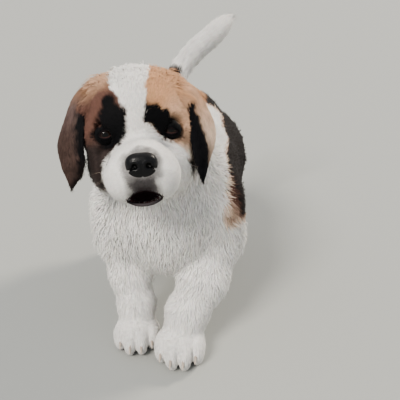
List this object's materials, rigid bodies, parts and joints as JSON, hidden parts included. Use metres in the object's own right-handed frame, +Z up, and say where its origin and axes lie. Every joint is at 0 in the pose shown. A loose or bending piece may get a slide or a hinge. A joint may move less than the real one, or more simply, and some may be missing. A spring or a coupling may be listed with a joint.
{
  "type": "animal figure",
  "caption": "Saint Bernard puppy of about seven weeks, walking with its tail raised, as a still life-size figure that rests on its paws.",
  "frame": {"origin": "bottom centre of the box round the whole puppy, on the floor under its paws", "axes": "+Z up, -Y the way the puppy faces, +X its own left side"},
  "size_m": [0.207, 0.4858, 0.3499],
  "materials": {
    "white_coat": "matte fur",
    "tan_coat": "matte fur",
    "dark_coat": "matte fur",
    "nose_leather": "moist, pebbled",
    "eye": "wet gloss",
    "claw": "satin"
  },
  "bodies": {
    "root": {"head": "tan_coat", "lower_jaw": "white_coat", "nose": "nose_leather", "neck": "white_coat", "torso": "dark_coat", "eye_left": "eye", "eye_right": "eye", "ear_left": "dark_coat", "ear_right": "dark_coat", "tail_base": "white_coat", "tail_end": "white_coat", "foreleg_left": "white_coat", "foreleg_right": "white_coat", "hindleg_left": "white_coat", "hindleg_right": "white_coat", "forepaw_left": "white_coat", "forepaw_right": "white_coat", "hindpaw_left": "white_coat", "hindpaw_right": "white_coat", "claw_forepaw_left_1": "claw", "claw_forepaw_left_2": "claw", "claw_forepaw_left_3": "claw", "claw_forepaw_left_4": "claw", "claw_forepaw_right_1": "claw", "claw_forepaw_right_2": "claw", "claw_forepaw_right_3": "claw", "claw_forepaw_right_4": "claw", "claw_hindpaw_left_1": "claw", "claw_hindpaw_left_2": "claw", "claw_hindpaw_left_3": "claw", "claw_hindpaw_left_4": "claw", "claw_hindpaw_right_1": "claw", "claw_hindpaw_right_2": "claw", "claw_hindpaw_right_3": "claw", "claw_hindpaw_right_4": "claw"}
  },
  "joints": []
}
